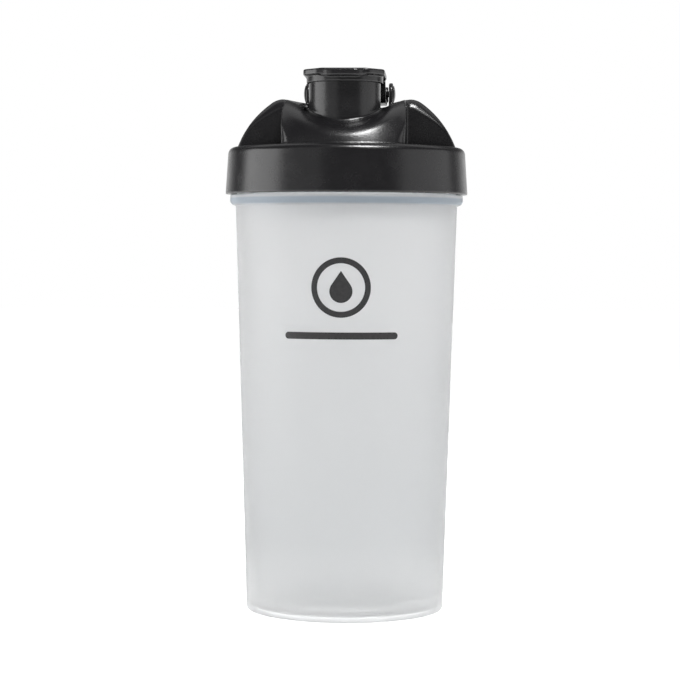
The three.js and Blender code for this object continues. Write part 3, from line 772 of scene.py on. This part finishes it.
def make_seals():
    soft = silicone()
    low, high, inner, outer = gasket_low.z, gasket_high.z, SEAL_RING_RADIUS + 0.2, gasket_high.x
    ring = [(inner, low), (outer, low), (outer, high), (inner, high)]
    gasket = turned("neck_gasket", rounded(ring, [0.35] * 4), soft, 192)
    finish_piece(gasket, "gasket_ring", "silicone", "lid_gasket")
    low, high, inner, outer = seal_low.z, seal_high.z, PLUG_RADIUS + 0.1, SPOUT_RADIUS
    ring = [(inner, low), (outer, low), (outer, high), (inner, high)]
    seal = turned("spout_ring", rounded(ring, [0.35] * 4), soft, 96, place=(0, SPOUT_Y))
    finish_piece(seal, "cap", "silicone", "spout_seal")


def make_pin():
    """The pin's shank and its two low domed heads, turned about X."""
    inside, outside = EAR_OUTSIDE + 0.1, pin_high.x
    rise = outside - inside - 0.25
    bulge = (PIN_HEAD_RADIUS**2 + rise**2) / (2 * rise)
    reach = math.degrees(math.asin(PIN_HEAD_RADIUS / bulge))
    face = arc((0, outside - bulge), bulge, 90 - reach, 90, 8)
    half = [(PIN_RADIUS, 0), (PIN_RADIUS, inside - 0.1), (PIN_RADIUS + 0.1, inside)]
    half += [(PIN_HEAD_RADIUS - 0.15, inside), (PIN_HEAD_RADIUS, inside + 0.12), *face[:-1], (0, outside)]
    outline = [(r, -h) for r, h in reversed(half[1:])] + half
    pin = turned("hinge_rivet", outline, black_plastic("pin_plastic", 0.22, 0.08), 48)
    turn = Matrix.Translation((0, HINGE_Y * MM, HINGE_Z * MM)) @ Matrix.Rotation(math.pi / 2, 4, "Y")
    pin.data.transform(turn)
    finish_piece(pin, "screw_lid", "black_plastic", "hinge_pin")


# ---- Strainer --------------------------------------------------------------------------------------

MESH_PITCH = 8.0
MESH_BAR = 2.0


def strainer_field(x, y, z):
    rho = np.hypot(x, y)
    radius = strainer_high.x
    wall, plate = 1.4, 1.6
    rim = common(slab(rho, radius - wall, radius), slab(z, strainer_low.z, strainer_high.z), 0.4)
    disc = common(rho - radius + wall / 2, slab(z, strainer_low.z, strainer_low.z + plate), 0.3)
    hole = (MESH_PITCH - MESH_BAR) / 2
    near_x, near_y = MESH_PITCH * np.round(x / MESH_PITCH), MESH_PITCH * np.round(y / MESH_PITCH)
    holes = common(np.abs(x - near_x) - hole, np.abs(y - near_y) - hole, 0.6)
    whole = np.hypot(np.abs(near_x) + hole, np.abs(near_y) + hole) < radius - wall - MESH_BAR / 2
    holes = np.where(whole, holes, 1.0)
    return join(rim, cut(disc, holes, 0.25), 0.5)


def make_strainer():
    verts, quads = surface(strainer_field, strainer_low, strainer_high, STRAINER_STEP)
    grid = make_mesh("mixing_strainer", verts, quads, natural_plastic())
    finish_piece(grid, "screw_lid", "natural_plastic", "strainer")


# ---- Print on the cup ------------------------------------------------------------------------------

INK_GAP = 0.01
INK_THICKNESS = 0.05
EMBLEM_MIDDLE = 126.0
EMBLEM_RADIUS = 11.2
RING_WIDTH = 2.2
DROP_MIDDLE = EMBLEM_MIDDLE - 1.4
DROP_RADIUS = 4.3
DROP_TIP = 7.6
STRIPE_MIDDLE = 108.0
STRIPE_HALF = 22.0
STRIPE_HEIGHT = 2.6


def printed(name, rows, material, closed=False):
    """A thin skin on the cup's front from a grid of points, [across, height] in millimetres."""
    rows = np.array(rows, float)
    count, width = rows.shape[:2]
    layers = []
    for lift in (INK_GAP, INK_THICKNESS):
        radius = body_radius(rows[..., 1]) + lift
        angle = rows[..., 0] / radius
        layer = np.stack([radius * np.sin(angle), -radius * np.cos(angle), rows[..., 1]], 2)
        layers.append(layer.reshape(-1, 3))
    verts = np.concatenate(layers)
    below = count * width
    faces, edges = [], {}
    for i in range(count if closed else count - 1):
        for k in range(width - 1):
            j = (i + 1) % count
            quad = [i * width + k, i * width + k + 1, j * width + k + 1, j * width + k]
            faces += [[below + v for v in quad], quad[::-1]]
            for a, b in zip(quad, quad[1:] + quad[:1]):
                edges[(a, b)] = (b, a) not in edges and (a, b) not in edges
                if (b, a) in edges:
                    edges[(b, a)] = edges[(a, b)] = False
    faces += [[a, b, below + b, below + a] for (a, b), outer in edges.items() if outer]
    obj = make_mesh(name, verts, faces, material, 30)
    clean = bmesh.new()
    clean.from_mesh(obj.data)
    bmesh.ops.remove_doubles(clean, verts=clean.verts, dist=1e-7)
    bmesh.ops.recalc_face_normals(clean, faces=clean.faces)
    clean.to_mesh(obj.data)
    clean.free()
    finish_piece(obj, "cup_body", "black_plastic")


def make_ring(ink):
    radii = (EMBLEM_RADIUS - RING_WIDTH, EMBLEM_RADIUS - RING_WIDTH / 2, EMBLEM_RADIUS)
    ring = []
    for turn in np.linspace(0, 2 * math.pi, 120, endpoint=False):
        ring.append([(r * math.cos(turn), EMBLEM_MIDDLE + r * math.sin(turn)) for r in radii])
    printed("print_ring", ring, ink, closed=True)


def make_drop(ink):
    """A round drop whose two straight sides leave the round at a tangent and meet at the tip."""
    tangent = math.asin(DROP_RADIUS / DROP_TIP)
    shoulder = DROP_RADIUS * math.sin(tangent)
    turns = np.linspace(0.05, math.pi / 2 + tangent, 20)
    heights = [*(-DROP_RADIUS * np.cos(turns)), *np.linspace(shoulder, DROP_TIP - 0.1, 14)[1:]]
    drop = []
    for height in heights:
        if height < shoulder + 1e-6:
            half = math.sqrt(max(DROP_RADIUS**2 - height * height, 0))
        else:
            half = (DROP_TIP - height) * math.tan(tangent)
        drop.append([(half * s, DROP_MIDDLE + height) for s in np.linspace(-1, 1, 9)])
    printed("print_drop", drop, ink)


def make_stripe(ink):
    """A bar with round ends."""
    end = STRIPE_HEIGHT / 2
    straight = STRIPE_HALF - end
    left = -straight - end * np.cos(np.linspace(0.1, math.pi / 2, 8))
    right = straight + end * np.sin(np.linspace(0, math.pi / 2 - 0.1, 8))
    stripe = []
    for across in (*left, *np.linspace(-straight, straight, 60)[1:], *right[1:]):
        over = max(abs(across) - straight, 0)
        tall = math.sqrt(max(end**2 - over**2, 0))
        stripe.append([(across, STRIPE_MIDDLE + tall * s) for s in np.linspace(-1, 1, 5)])
    printed("print_stripe", stripe, ink)


def make_print():
    """A generic emblem, a drop in a ring, above a plain bar."""
    ink = printed_ink()
    make_ring(ink)
    make_drop(ink)
    make_stripe(ink)


# ---- The scene -------------------------------------------------------------------------------------

LID_STEP = 0.5
CAP_STEP = 0.35
STRAINER_STEP = 0.5

# Name, azimuth, elevation, distance in metres, size in metres and radiance
SOFTBOXES = [
    ("left_box", -84, 0, 0.60, (0.51, 0.56), 3.0),
    ("left_fill", -38, 12, 0.75, (0.50, 0.80), 0.43),
    ("right_box", 85, 0, 0.60, (0.75, 0.56), 0.85),
    ("overhead", 180, 60, 0.65, (1.20, 0.40), 0.5),
    ("key_panel", 30, 46, 0.80, (0.16, 0.40), 3.0),
    ("key_spot", 30, 62, 0.65, (0.18, 0.18), 46.0),
]

make_camera()
make_world()
make_floor()
for softbox in SOFTBOXES:
    make_softbox(*softbox)
make_cup()
make_lid()
make_cap()
make_pin()
make_seals()
make_strainer()
make_print()

bpy.context.scene.view_settings.view_transform = "Standard"
